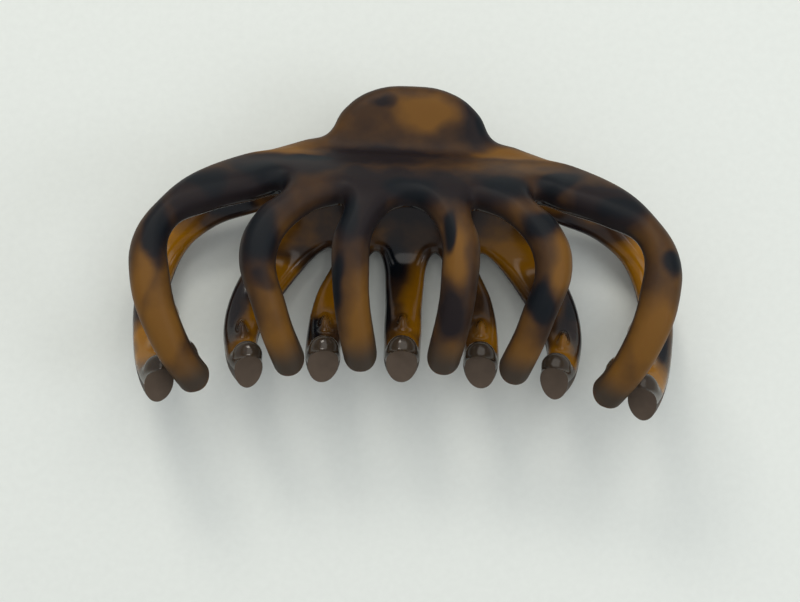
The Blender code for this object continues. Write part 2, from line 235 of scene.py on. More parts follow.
# The floor reaches this far each way, in this many cells, and the lamps look at this point
FLOOR_REACH = 1.5
FLOOR_CELLS = 8
LAMP_AIM = (0.0, 0.0, 0.015)

# The hinge point and the tilt at which the clip rests, from the frame
HINGE = Vector(frame["joints"][0]["pos_m"])
PAD_AXIS = next(row["axis"] for row in frame["record"]["mounts"]
                if row["name"] == "thumb_pad_front")
TILT = math.atan2(-PAD_AXIS[1], PAD_AXIS[2]) - TAB_SLOPE
CLIP = Matrix.Translation(HINGE) @ Matrix.Rotation(TILT, 4, "X")


def linear(colour):
    """A linear colour from an sRGB hex value."""
    parts = [int(colour[index:index + 2], 16) / 255.0 for index in (1, 3, 5)]
    return tuple(part / 12.92 if part <= 0.04045 else ((part + 0.055) / 1.055) ** 2.4
                 for part in parts)


def length(name, text, default, low=0.0001):
    """A size of the clip, in metres."""
    return FloatProperty(name=name, description=text, default=default, min=low, unit="LENGTH",
                         subtype="DISTANCE", precision=5)


def colour(name, text, default):
    """A colour, given as its sRGB hex value."""
    return FloatVectorProperty(name=name, description=text, default=linear(default), size=3,
                               min=0.0, max=1.0, subtype="COLOR")


class ClipSizes(bpy.types.PropertyGroup):
    """Sizes of the mouldings and of the hinge."""

    outer_thickness: length("Outer dome", "Height of the dome outside the parting line", 0.0039)
    inner_thickness: length("Inner dome", "Height of the dome inside the parting line", 0.0024)
    edge_round: length("Edge round", "Width over which the domes round off", 0.0029)
    prong_width: length("Prong width", "Width of a prong", 0.0073)
    crotch_round: length("Crotch round", "Radius between two prongs", 0.0011)
    knob_width: length("Tip knob width", "Width of the rounded knob inside each tip", 0.0062)
    knob_height: length("Tip knob height", "Height of the knob above the inner face", 0.0026)
    front_knob_height: length("Front knob height", "Height of the knobs of the front half",
                              0.0008)
    front_knob_width: length("Front knob width", "Width of the knobs of the front half", 0.0034)
    knob_length: length("Tip knob length", "Length of the knob along the prong", 0.0056)
    knob_from_tip: length("Tip knob place", "From the sawn end to the knob", 0.0020)
    tooth_length: length("Tooth length", "Length of a grip tooth", 0.0062)
    tooth_width: length("Tooth width", "Width of a grip tooth", 0.0030)
    tooth_height: length("Tooth height", "Height of a grip tooth", 0.0030)
    tooth_from_tip: length("Tooth place", "From the tip to the grip tooth", 0.0125)
    cell: length("Surface cell", "Cell of the smooth surface", 0.00042)
    lug_thickness: length("Lug thickness", "Thickness of a hinge lug", 0.0024)
    lug_radius: length("Lug radius", "Radius of a lug about the pin", 0.0030)
    lug_base: length("Lug base", "Length of a lug where it joins the comb", 0.0072)
    bore: length("Bore", "Radius of the hole for the pin", 0.0011)
    front_lug: length("Front lug place", "From the middle to a lug of the front half", 0.0059999)
    back_lug: length("Back lug place", "From the middle to a lug of the back half", 0.0086999)
    pin_radius: length("Pin radius", "Radius of the hinge pin", 0.0010)
    pin_head: length("Pin head radius", "Radius of the formed heads", 0.0017)
    pin_neck: length("Pin neck", "From the middle to the inside of a head", 0.0101999)
    pin_head_length: length("Pin head length", "Length of a head", 0.0007)
    wire: length("Wire", "Diameter of the spring wire", 0.0011)
    coil_radius: length("Coil radius", "From the pin's axis to the middle of the wire", 0.0020)
    leg: length("Spring leg", "Length of a leg of the spring", 0.0100)
    turns: IntProperty(name="Turns", description="Whole turns of the spring", default=6, min=2)


class ClipColours(bpy.types.PropertyGroup):
    """Colours of the tortoiseshell, the steel and the studio floor."""

    honey: colour("Honey", "Clearest parts of the polished inside", "#8a5c08")
    amber: colour("Amber", "Clear parts of the sheet", "#6c4a1c")
    brown: colour("Brown", "Ground colour of the sheet", "#3d2a1a")
    # Umber is also the colour of the painted shade on the side walls and across the waist
    umber: colour("Umber", "Smoky bands and the rims of the blotches", "#1b1517")
    navy: colour("Blue black", "Middle of the dark blotches", "#0a1016")
    # Tip grey is painted shade on the prong ends and a painted dark reflection on the knobs
    tip: colour("Tip grey", "Greyed prong ends", "#3b3229")
    sawn: colour("Sawn grey", "Matt faces on the prong ends", "#4a3f35")
    steel: colour("Spring steel", "Bright plated wire", "#b8b6b0")
    oil: colour("Wire tint", "Darker drawn streaks in the wire", "#77746c")
    paper: colour("Floor", "Pale paper under the clip", "#dce2de")


class StudioSettings(bpy.types.PropertyGroup):
    """Camera and lamps."""

    aim: FloatVectorProperty(name="Aim", description="Point aimed at, in the clip frame",
                             default=(-0.0008, -0.0294, 0.0018), size=3, unit="LENGTH",
                             subtype="TRANSLATION")
    distance: length("Camera distance", "From the aim point to the camera", 0.42)
    lens: FloatProperty(name="Focal length", description="In millimetres", default=95.7, min=1.0)
    lean: FloatProperty(name="Lean", description="From the clip's normal towards its tips",
                        default=math.radians(22.0), subtype="ANGLE", unit="ROTATION")
    roll: FloatProperty(name="Roll", description="Turn about the line of sight",
                        default=math.radians(-2.2), subtype="ANGLE", unit="ROTATION")
    key: FloatProperty(name="Key lamp", description="Power in watts", default=1.6, min=0.0)
    softbox: FloatProperty(name="Softbox", description="Power in watts", default=5.0, min=0.0)
    fill: FloatProperty(name="Fill lamp", description="Power in watts", default=1.2, min=0.0)
    sky: FloatProperty(name="Room light", description="Strength of the room", default=0.60,
                       min=0.0)


def node(tree, kind, sockets=None, links=None, **settings):
    """Add one shader node with its settings, socket values and incoming links."""
    item = tree.nodes.new(kind)
    for name, value in settings.items():
        setattr(item, name, value)
    for name, value in (sockets or {}).items():
        item.inputs[name].default_value = value
    for name, source in (links or {}).items():
        tree.links.new(source, item.inputs[name])
    return item


def new_material(name, sockets):
    """A material with only a Principled shader, and its tree and shader."""
    material = bpy.data.materials.new(name)
    material.use_nodes = True
    shader = material.node_tree.nodes["Principled BSDF"]
    for socket, value in sockets.items():
        shader.inputs[socket].default_value = value
    return material, material.node_tree, shader


def set_ramp(ramp, stops):
    """Give a colour ramp its stops, as (place, colour)."""
    bands = ramp.color_ramp
    for place, tone in stops[2:]:
        bands.elements.new(place)
    for element, (place, tone) in zip(bands.elements, sorted(stops)):
        element.position = place
        element.color = (*tone, 1.0)


def smooth_step(value, low, high):
    """0 below low, 1 above high, smooth between, for arrays too."""
    share = np.clip((value - low) / (high - low), 0.0, 1.0)
    return share * share * (3.0 - 2.0 * share)


def walk(arcs, distance):
    """Way along, way out and slope after each distance along a run of arcs."""
    along = np.zeros_like(distance)
    out = np.zeros_like(distance)
    slope = np.zeros_like(distance)
    left = distance.copy()
    for run, turn in arcs:
        step = np.clip(left, 0.0, run)
        change = math.radians(turn) * step / run
        if turn:
            radius = run / math.radians(turn)
            along += radius * (np.sin(slope + change) - np.sin(slope))
            out += radius * (np.cos(slope) - np.cos(slope + change))
        else:
            along += step * np.cos(slope)
            out += step * np.sin(slope)
        slope += change
        left -= step
    return along, out, slope


def reach_at(x, facing):
    """How far the prongs of one half reach at a place across the clip."""
    reach, stretch = FRONT_REACH if facing > 0.0 else BACK_REACH
    return reach * (1.0 + stretch * (2.0 * x / STRETCH_WIDTH) ** 2)


def side_profile(s, reach):
    """Place and slope of the middle surface, as (along, out, slope), at flat distances s."""
    tab_along, tab_out, tab_slope = walk(TAB_ARCS, np.maximum(s, 0.0))
    along, out, slope = walk(PRONG_ARCS, np.maximum(-s, 0.0) / reach)
    on_tab = s >= 0.0
    return np.array((np.where(on_tab, tab_along, -along * reach), np.where(on_tab, tab_out, out),
                     np.where(on_tab, tab_slope, -slope)))


def bend(flat, facing):
    """Move points of the flat comb (across, along, depth) to their places on the bent one."""
    x, s, depth = np.asarray(flat, float).T
    depth = depth * (1.0 - (1.0 - TAB_THINS[0]) * smooth_step(s, *TAB_THINS[1:]))
    depth = depth * (1.0 - (1.0 - TIP_THINS[0]) * smooth_step(-s, *TIP_THINS[1:]))
    reach = reach_at(x, facing)
    sharp = side_profile(s, reach)
    steps = np.linspace(-WAIST_BLUR, WAIST_BLUR, WAIST_BLUR_STEPS)
    soft = sum(side_profile(s + step, reach) for step in steps) / len(steps)
    near_waist = 1.0 - smooth_step(np.abs(s - WAIST_MIDDLE), *WAIST_REGION)
    y, z, slope = sharp + (soft - sharp) * near_waist
    height = WAIST_OFFSET + z + depth * np.cos(slope)
    return np.column_stack((x, y - depth * np.sin(slope), height * facing))


def tip_distance(x, facing):
    """Flat distance from the waist to where the middle of a prong reaches the tip plane."""
    distance = np.linspace(*TIP_SEARCH)
    out = walk(PRONG_ARCS, distance)[1]
    first = np.argmax(WAIST_OFFSET + out < TIP_GAP / 2.0)
    return distance[first] * reach_at(x, facing)


def new_object(name, data):
    """A new object of the scene."""
    item = bpy.data.objects.new(name, data)
    bpy.context.scene.collection.objects.link(item)
    return item


def mesh_from_curve(curve):
    """The mesh of a curve, with its parts welded and its faces turned outwards."""
    mesh = baked_mesh(new_object(curve.name, curve))
    shape = bmesh.new()
    shape.from_mesh(mesh)
    bmesh.ops.remove_doubles(shape, verts=shape.verts, dist=WELD)
    bmesh.ops.recalc_face_normals(shape, faces=shape.faces)
    shape.to_mesh(mesh)
    shape.free()
    return mesh


def baked_mesh(item):
    """The mesh of an object after its modifiers; the object is removed."""
    bpy.context.view_layer.update()
    evaluated = item.evaluated_get(bpy.context.evaluated_depsgraph_get())
    mesh = bpy.data.meshes.new_from_object(evaluated)
    bpy.data.objects.remove(item, do_unlink=True)
    return mesh


def crotch_nodes(before, apex, after, radius):
    """Three nodes that round the crotch between two prongs."""
    towards = (before - apex).normalized()
    away = (after - apex).normalized()
    centre = apex + (towards + away).normalized() * radius
    across = (away - towards).normalized() * radius
    return [centre - across, apex, centre + across]


def comb_outline(name, outline, sizes):
    """The flat comb: a filled curve with rounded edges, mirrored from one side of its outline."""
    right = []
    for before, point, after in zip(outline[:1] + outline, outline, outline[1:] + outline[-1:]):
        if len(point) > 2:
            right += crotch_nodes(Vector(before[:2]), Vector(point[:2]), Vector(after[:2]),
                                  sizes.crotch_round / MM)
        else:
            right.append(Vector(point))
    right = [place * MM for place in right]
    nodes = right + [Vector((-place.x, place.y)) for place in reversed(right) if place.x > 0.0]
    curve = bpy.data.curves.new(name, "CURVE")
    curve.dimensions = "2D"
    curve.fill_mode = "BOTH"
    curve.resolution_u = 10
    curve.bevel_depth = sizes.edge_round
    curve.bevel_resolution = 6
    curve.offset = (sizes.prong_width - DRAWN_PRONG_WIDTH) / 2.0 - sizes.edge_round
    spline = curve.splines.new("BEZIER")
    spline.bezier_points.add(len(nodes) - 1)
    spline.use_cyclic_u = True
    for point, place in zip(spline.bezier_points, nodes):
        point.co = (place.x, place.y, 0.0)
        point.handle_left_type = point.handle_right_type = "AUTO"
    return mesh_from_curve(curve)


def add_ball(shape, centre, radii, taper=(0.0, 0.0), lean=0.0):
    """Add a ball to the flat comb: it may narrow and flatten towards +Y, and lean across."""
    ball = bmesh.ops.create_icosphere(shape, subdivisions=4, radius=1.0)
    for vert in ball["verts"]:
        x, y, z = vert.co
        share = (y + 1.0) / 2.0
        vert.co = (centre[0] + x * radii[0] * (1.0 - taper[0] * share) + lean * y,
                   centre[1] + y * radii[1],
                   centre[2] + z * radii[2] * (1.0 - taper[1] * share))


def both_sides(places):
    """Each place and its mirror image; a place on the centre line comes once."""
    mirrored = [tuple(-value for value in place) for place in places if place[0] > 0]
    return mirrored + list(places)


def flat_comb(name, outline, tips, teeth, facing, sizes):
    """The comb still flat, as one smooth skin with its tip knobs and grip teeth."""
    mesh = comb_outline(name, outline, sizes)
    shape = bmesh.new()
    shape.from_mesh(mesh)
    for vert in shape.verts:
        share = abs(vert.co.z) / sizes.edge_round
        if vert.co.z > 0.0:
            vert.co.z = sizes.outer_thickness * share
        else:
            vert.co.z = -sizes.inner_thickness * share ** INNER_FLATNESS
    shape.to_mesh(mesh)
    shape.free()
    mesh = smooth_skin(name, mesh, sizes.cell, COMB_ROUNDS)
    shape = bmesh.new()
    shape.from_mesh(mesh)
    half = sizes.knob_length / 2.0
    high = sizes.front_knob_height if facing > 0.0 else sizes.knob_height
    wide = sizes.front_knob_width if facing > 0.0 else sizes.knob_width
    sunk = sizes.inner_thickness * KNOB_SUNK
    for tip, broad in both_sides(list(zip(tips, [tooth[0] for tooth in teeth]))):
        end = -tip_distance(tip * MM, facing)
        lean = (broad - tip) * MM * half / sizes.tooth_from_tip
        add_ball(shape, (tip * MM + lean, end + half + sizes.knob_from_tip, -sunk),
                 (wide / 2.0, half, high + sizes.inner_thickness - sunk), lean=lean)
    for broad, tail in both_sides(teeth):
        start = sizes.tooth_from_tip - tip_distance(broad * MM, facing)
        add_ball(shape, ((broad + tail) / 2.0 * MM, start + sizes.tooth_length / 2.0,
                         -sizes.inner_thickness * TOOTH_SUNK),
                 (sizes.tooth_width / 2.0, sizes.tooth_length / 2.0, sizes.tooth_height),
                 taper=TOOTH_TAPER, lean=(tail - broad) / 2.0 * MM)
    shape.to_mesh(mesh)
    shape.free()
    return smooth_skin(name, mesh, sizes.cell, KNOB_ROUNDS)


def smooth_skin(name, mesh, cell, rounds):
    """One even skin over a mesh and all that is sunk into it, smoothed a number of times."""
    item = new_object(name, mesh)
    skin = item.modifiers.new("skin", "REMESH")
    skin.mode = "VOXEL"
    skin.voxel_size = cell
    soften = item.modifiers.new("soften", "SMOOTH")
    soften.factor = 0.5
    soften.iterations = rounds
    return baked_mesh(item)


def spots(flat, places, seed, edge):
    """How far each point is inside a set of soft-edged spots, from 0 to 1."""
    shift = np.array([noise.noise_vector(Vector((x, s, seed * MM)) * SPOT_WANDER_SCALE)
                      for x, s, depth in flat]) * SPOT_WANDER
    x = (flat[:, 0] + shift[:, 0]) / MM
    s = (flat[:, 1] + shift[:, 1]) / MM
    inside = np.zeros(len(flat))
    for across, along, wide, long in places:
        away = np.sqrt(((x - across) / wide) ** 2 + ((s - along) / long) ** 2)
        inside = np.maximum(inside, 1.0 - smooth_step(away, 1.0 - edge, 1.0 + edge))
    return inside


def write_attribute(mesh, name, values):
    """A value, or a vector, at each vertex."""
    kind = "FLOAT_VECTOR" if values.ndim > 1 else "FLOAT"
    attribute = mesh.attributes.new(name, kind, "POINT")
    attribute.data.foreach_set("vector" if values.ndim > 1 else "value",
                               values.astype(np.float32).ravel())


def paint_comb(mesh, flat, blotches, smoke, clouds, facing):
    """Lay the tortoiseshell pattern on a comb, from the flat places of its vertices."""
    write_attribute(mesh, "sheet", flat)
    write_attribute(mesh, "dark", spots(flat, blotches, *BLOTCH_EDGE))
    write_attribute(mesh, "smoke", spots(flat, smoke, *SMOKE_AND_SHADE_EDGE))
    write_attribute(mesh, "warm", spots(flat, clouds, *CLOUD_EDGE))
    from_tip = tip_distance(flat[:, 0], facing) + flat[:, 1]
    write_attribute(mesh, "from_tip", np.maximum(from_tip, 0.0))


def lug_object(name, place, facing, sizes):
    """A pair of lugs: plates with a round end about the pin, and a hole for the pin."""
    curve = bpy.data.curves.new(name, "CURVE")
    curve.dimensions = "2D"
    curve.fill_mode = "BOTH"
    curve.extrude = sizes.lug_thickness / 2.0
    arc = np.linspace(math.pi, 2.0 * math.pi, LUG_STEPS + 1)
    plate = [(sizes.lug_radius * math.cos(a), sizes.lug_radius * math.sin(a)) for a in arc]
    plate += [(sizes.lug_base / 2.0, WAIST_OFFSET), (-sizes.lug_base / 2.0, WAIST_OFFSET)]
    turn = np.linspace(0.0, 2.0 * math.pi, BORE_STEPS + 1)[:-1]
    hole = [(sizes.bore * math.cos(a), sizes.bore * math.sin(a)) for a in turn]
    for points in (plate, hole):
        spline = curve.splines.new("POLY")
        spline.points.add(len(points) - 1)
        spline.use_cyclic_u = True
        for point, (y, z) in zip(spline.points, points):
            point.co = (y, z * facing, 0.0, 1.0)
    plates = mesh_from_curve(curve)
    shape = bmesh.new()
    for side in (-1.0, 1.0):
        start = len(shape.verts)
        shape.from_mesh(plates)
        shape.verts.ensure_lookup_table()
        for vert in shape.verts[start:]:
            vert.co = Vector((vert.co.z + side * place, vert.co.x, vert.co.y))
    bmesh.ops.recalc_face_normals(shape, faces=shape.faces)
    mesh = bpy.data.meshes.new(name)
    shape.to_mesh(mesh)
    shape.free()
    corners = np.array([vert.co[:] for vert in mesh.vertices])
    flat = np.column_stack((corners[:, 0], corners[:, 1], np.full(len(corners), LUG_DEPTH)))
    write_attribute(mesh, "sheet", flat)
    for pattern, value in LUG_PATTERN:
        write_attribute(mesh, pattern, np.full(len(corners), value))
    return new_object(name, mesh)


def cut_tips(mesh, facing):
    """Cut every prong off square on the tip plane, and close the cuts."""
    shape = bmesh.new()
    shape.from_mesh(mesh)
    cut = bmesh.ops.bisect_plane(
        shape, geom=shape.verts[:] + shape.edges[:] + shape.faces[:], dist=CUT_REACH,
        clear_inner=True, plane_co=(0.0, 0.0, TIP_GAP / 2.0 * facing),
        plane_no=(0.0, 0.0, facing))
    rims = [part for part in cut["geom_cut"] if isinstance(part, bmesh.types.BMEdge)]
    bmesh.ops.edgenet_fill(shape, edges=rims)
    bmesh.ops.recalc_face_normals(shape, faces=shape.faces)
    shape.to_mesh(mesh)
    shape.free()


def build_half(name, outline, tips, teeth, blotches, smoke, clouds, facing, lug_place, body,
               node_name):
    """One half of the clip, with its lugs, its pattern and its three finishes."""
    sizes = bpy.context.scene.clip_sizes
    mesh = flat_comb(name, outline, tips, teeth, facing, sizes)
    flat = np.array([vert.co[:] for vert in mesh.vertices])
    paint_comb(mesh, flat, blotches, smoke, clouds, facing)
    mesh.vertices.foreach_set("co", bend(flat, facing).astype(np.float32).ravel())
    mesh.update()
    cut_tips(mesh, facing)
    item = new_object(name, mesh)
    lugs = lug_object(name + "_lugs", lug_place, facing, sizes)
    join = item.modifiers.new("lugs", "BOOLEAN")
    join.operation = "UNION"
    join.solver = "EXACT"
    join.object = lugs
    mesh = baked_mesh(item)
    bpy.data.objects.remove(lugs, do_unlink=True)
    finish_half(mesh, facing)
    mesh.transform(CLIP)
    mesh.name = name
    item = new_object(name, mesh)
    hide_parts(node_name)
    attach(item, body)
    return item


def finish_half(mesh, facing):
    """Give each face its finish: satin outside, polished inside, sawn tip ends."""
    mesh.materials.clear()
    for material in (tortoiseshell("satin_cellulose_acetate", False),
                     tortoiseshell("polished_cellulose_acetate", True),
                     sawn_acetate()):
        mesh.materials.append(material)
    count = len(mesh.vertices)
    sheet = np.empty(count * 3, np.float32)
    mesh.attributes["sheet"].data.foreach_get("vector", sheet)
    depth = sheet.reshape(-1, 3)[:, 2]
    for face in mesh.polygons:
        inner = np.mean(depth[list(face.vertices)]) < PARTING_DEPTH
        on_plane = abs(face.center.z * facing - TIP_GAP / 2.0) < ON_PLANE
        face.material_index = SAWN_FINISH if on_plane else int(inner)
    mesh.shade_smooth()
    mesh.set_sharp_from_angle(angle=CRISP_COMB)


def tortoiseshell(name, polished):
    """Mottled cellulose acetate, pressed from sheet in a heated mould.

    Outside, the textured mould leaves a satin skin with broad, soft lights. Inside, the polished
    face gives sharp lights and shows the colour clearer and warmer. A little light goes into it.
    """
    if name in bpy.data.materials:
        return bpy.data.materials[name]
    colours = bpy.context.scene.clip_colours
    material, tree, shader = new_material(name, {
        "IOR": 1.48, "Roughness": 0.13 if polished else 0.5,
        "Specular IOR Level": 0.34 if polished else 0.16,
        "Subsurface Weight": 0.1, "Subsurface Scale": 0.002,
        "Subsurface Radius": (1.0, 0.45, 0.12)})
    sheet = node(tree, "ShaderNodeAttribute", attribute_name="sheet").outputs["Vector"]
    dark = node(tree, "ShaderNodeAttribute", attribute_name="dark").outputs["Fac"]
    smoke = node(tree, "ShaderNodeAttribute", attribute_name="smoke").outputs["Fac"]
    warm = node(tree, "ShaderNodeAttribute", attribute_name="warm").outputs["Fac"]
    from_tip = node(tree, "ShaderNodeAttribute", attribute_name="from_tip").outputs["Fac"]
    # Clouds about 9 mm across move the ground between brown and amber. A multiply-add node
    # takes the product of its inputs 0 and 1, and adds input 2.
    clouds = node(tree, "ShaderNodeTexNoise", {"Scale": 110.0, "Detail": 3.0, "Roughness": 0.5},
                  {"Vector": sheet})
    lit = node(tree, "ShaderNodeMath", {1: 0.6}, {0: warm, 2: clouds.outputs["Fac"]},
               operation="MULTIPLY_ADD")
    # Smoke darkens the ground towards umber: the sheet's own smoky bands, and painted shade across
    # the waist
    tone = node(tree, "ShaderNodeMath", {1: -0.4}, {0: smoke, 2: lit.outputs[0]},
                operation="MULTIPLY_ADD")
    ground = node(tree, "ShaderNodeValToRGB", links={"Fac": tone.outputs[0]})
    set_ramp(ground, [(0.18, colours.umber), (1.0, colours.honey if polished else colours.amber),
                      (0.5, colours.brown)])
    # The rim of a blotch wavers over about 3 mm
    waver = node(tree, "ShaderNodeTexNoise", {"Scale": 330.0, "Detail": 2.0}, {"Vector": sheet})
    edge = node(tree, "ShaderNodeMath", {1: 0.5}, {0: waver.outputs["Fac"]}, operation="SUBTRACT")
    depth = node(tree, "ShaderNodeMath", {1: 0.4}, {0: edge.outputs[0], 2: dark},
                 operation="MULTIPLY_ADD")
    rim = node(tree, "ShaderNodeMapRange", {"From Min": 0.05, "From Max": 0.75},
               {"Value": depth.outputs[0]}, interpolation_type="SMOOTHSTEP")
    core = node(tree, "ShaderNodeMapRange", {"From Min": 0.35, "From Max": 1.0},
                {"Value": depth.outputs[0]}, interpolation_type="SMOOTHSTEP")
    umber = (*colours.umber, 1.0)
    blotch = node(tree, "ShaderNodeMix", {MIX_FIRST: umber, MIX_SECOND: (*colours.navy, 1.0)},
                  {MIX_SHARE: core.outputs[0]}, data_type="RGBA")
    body = node(tree, "ShaderNodeMix", links={
        MIX_SHARE: rim.outputs[0], MIX_FIRST: ground.outputs[0],
        MIX_SECOND: blotch.outputs[MIX_RESULT]}, data_type="RGBA")
    if not polished:
        # Painted shade: the side walls, lowest on the outside of the sheet, are mixed towards
        # umber, most at the very edge
        height = node(tree, "ShaderNodeSeparateXYZ", links={"Vector": sheet}).outputs["Z"]
        painted_wall_shade = node(tree, "ShaderNodeMapRange", {
            "From Min": 0.0, "From Max": 0.0021, "To Min": 0.85, "To Max": 0.0},
                    {"Value": height}, interpolation_type="SMOOTHSTEP")
        body = node(tree, "ShaderNodeMix", {MIX_SECOND: umber}, {
            MIX_SHARE: painted_wall_shade.outputs[0], MIX_FIRST: body.outputs[MIX_RESULT]}, data_type="RGBA")
    # Painted shade: prong ends go grey over the last 7 mm; the knobs wholly so, as a painted dark
    # reflection on their polish
    painted_tip_shade = node(tree, "ShaderNodeMapRange", {
        "From Min": 0.006 if polished else 0.0, "From Max": 0.0085 if polished else 0.007,
        "To Min": 1.0, "To Max": 0.0}, {"Value": from_tip}, interpolation_type="SMOOTHSTEP")
    shaded_ends = node(tree, "ShaderNodeMix", {MIX_SECOND: (*colours.tip, 1.0)}, {
        MIX_SHARE: painted_tip_shade.outputs[0], MIX_FIRST: body.outputs[MIX_RESULT]}, data_type="RGBA")
    tree.links.new(shaded_ends.outputs[MIX_RESULT], shader.inputs["Base Color"])
    if not polished:
        # Spark-eroded mould skin: grain 0.25 mm across
        grain = node(tree, "ShaderNodeTexNoise", {"Scale": 4000.0, "Detail": 2.0},
                     {"Vector": sheet})
        bump = node(tree, "ShaderNodeBump", {"Strength": 0.12, "Distance": 0.00004},
                    {"Height": grain.outputs["Fac"]})
        tree.links.new(bump.outputs[0], shader.inputs["Normal"])
    return material


def sawn_acetate():
    """Cellulose acetate as the saw leaves it: grey and quite matt."""
    name = "sawn_cellulose_acetate"
    if name in bpy.data.materials:
        return bpy.data.materials[name]
    sawn = bpy.context.scene.clip_colours.sawn
    material, tree, shader = new_material(name, {"IOR": 1.48, "Roughness": 0.7,
                                                 "Specular IOR Level": 0.25})
    sheet = node(tree, "ShaderNodeAttribute", attribute_name="sheet").outputs["Vector"]
    # Faint clouds 3 mm across and saw grain 0.3 mm apart
    clouds = node(tree, "ShaderNodeTexNoise", {"Scale": 330.0, "Detail": 3.0}, {"Vector": sheet})
    tint = node(tree, "ShaderNodeValToRGB", links={"Fac": clouds.outputs["Fac"]})
    set_ramp(tint, [(0.25, tuple(part * SAWN_SHADE for part in sawn)), (0.75, sawn)])
    tree.links.new(tint.outputs[0], shader.inputs["Base Color"])
    grain = node(tree, "ShaderNodeTexNoise", {"Scale": 3300.0, "Detail": 2.0}, {"Vector": sheet})
    bump = node(tree, "ShaderNodeBump", {"Strength": 0.2, "Distance": 0.00004},
                {"Height": grain.outputs["Fac"]})
    tree.links.new(bump.outputs[0], shader.inputs["Normal"])
    return material


def plated_steel(name, roughness):
    """Nickel-plated drawn steel: bright and grey, broken up by fine darker draw marks."""
    colours = bpy.context.scene.clip_colours
    material, tree, shader = new_material(name, {"Metallic": 1.0, "Roughness": roughness})
    place = node(tree, "ShaderNodeTexCoord").outputs["Object"]
    # Draw marks 0.3 mm apart
    marks = node(tree, "ShaderNodeTexNoise", {"Scale": 3300.0, "Detail": 2.0}, {"Vector": place})
    tint = node(tree, "ShaderNodeValToRGB", links={"Fac": marks.outputs["Fac"]})
    set_ramp(tint, [(0.3, colours.oil), (0.62, colours.steel)])
    tree.links.new(tint.outputs[0], shader.inputs["Base Color"])
    return material


def place_piece(name, mesh, material):
    """Link a finished mesh, moved from the clip frame to its resting place."""
    mesh.transform(CLIP)
    mesh.name = name
    mesh.materials.clear()
    mesh.materials.append(material)
    return new_object(name, mesh)


class CLIP_OT_front_half(bpy.types.Operator):
    """Build the front comb half with its thumb tab and six prongs"""

    bl_idname = "clip.front_half"
    bl_label = "Front half"

    def execute(self, context):
        """Build the piece."""
        sizes = context.scene.clip_sizes
        build_half("front_comb", FRONT_OUTLINE, FRONT_TIPS, FRONT_TEETH, FRONT_BLOTCHES,
                   FRONT_SMOKE_AND_SHADE, FRONT_CLOUDS, facing=1.0, lug_place=sizes.front_lug,
                   body="front", node_name="front_half")
        return {"FINISHED"}


class CLIP_OT_back_half(bpy.types.Operator):
    """Build the back comb half with its thumb tab and seven prongs"""

    bl_idname = "clip.back_half"
    bl_label = "Back half"

    def execute(self, context):
        """Build the piece."""
        sizes = context.scene.clip_sizes
        build_half("back_comb", BACK_OUTLINE, BACK_TIPS, BACK_TEETH, BACK_BLOTCHES,
                   BACK_SMOKE_AND_SHADE, BACK_CLOUDS, facing=-1.0, lug_place=sizes.back_lug,
                   body="back", node_name="back_half")
        return {"FINISHED"}


class CLIP_OT_hinge_pin(bpy.types.Operator):
    """Turn the steel hinge pin with its two formed heads"""

    bl_idname = "clip.hinge_pin"
    bl_label = "Hinge pin"

    def execute(self, context):
        """Build the piece."""
        sizes = context.scene.clip_sizes
        neck = sizes.pin_neck
        crown = [(neck + sizes.pin_head_length * math.sin(a), sizes.pin_head * math.cos(a) ** 0.5)
                 for a in np.linspace(HEAD_START, math.pi / 2.0, HEAD_STEPS)]
        side = [(neck, sizes.pin_radius), (neck, sizes.pin_head * HEAD_UNDERSIDE)] + crown
        side[-1] = (side[-1][0], 0.0)
        profile = [(-x, r) for x, r in reversed(side)] + side
        shape = bmesh.new()
        verts = [shape.verts.new((x, r, 0.0)) for x, r in profile]
        edges = [shape.edges.new(pair) for pair in zip(verts, verts[1:])]
        bmesh.ops.spin(shape, geom=verts + edges, cent=(0.0, 0.0, 0.0), axis=(1.0, 0.0, 0.0),
                       angle=2.0 * math.pi, steps=PIN_STEPS, use_duplicate=False)
        bmesh.ops.remove_doubles(shape, verts=shape.verts, dist=PIN_WELD)
        bmesh.ops.recalc_face_normals(shape, faces=shape.faces)
        mesh = bpy.data.meshes.new("pin")
        shape.to_mesh(mesh)
        shape.free()
        mesh.shade_smooth()
        mesh.set_sharp_from_angle(angle=CRISP_STEEL)
        pin = place_piece("pin", mesh, plated_steel("nickel_plated_steel_turned", 0.24))
        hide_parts("hinge_pin")
        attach(pin, "back")
        return {"FINISHED"}


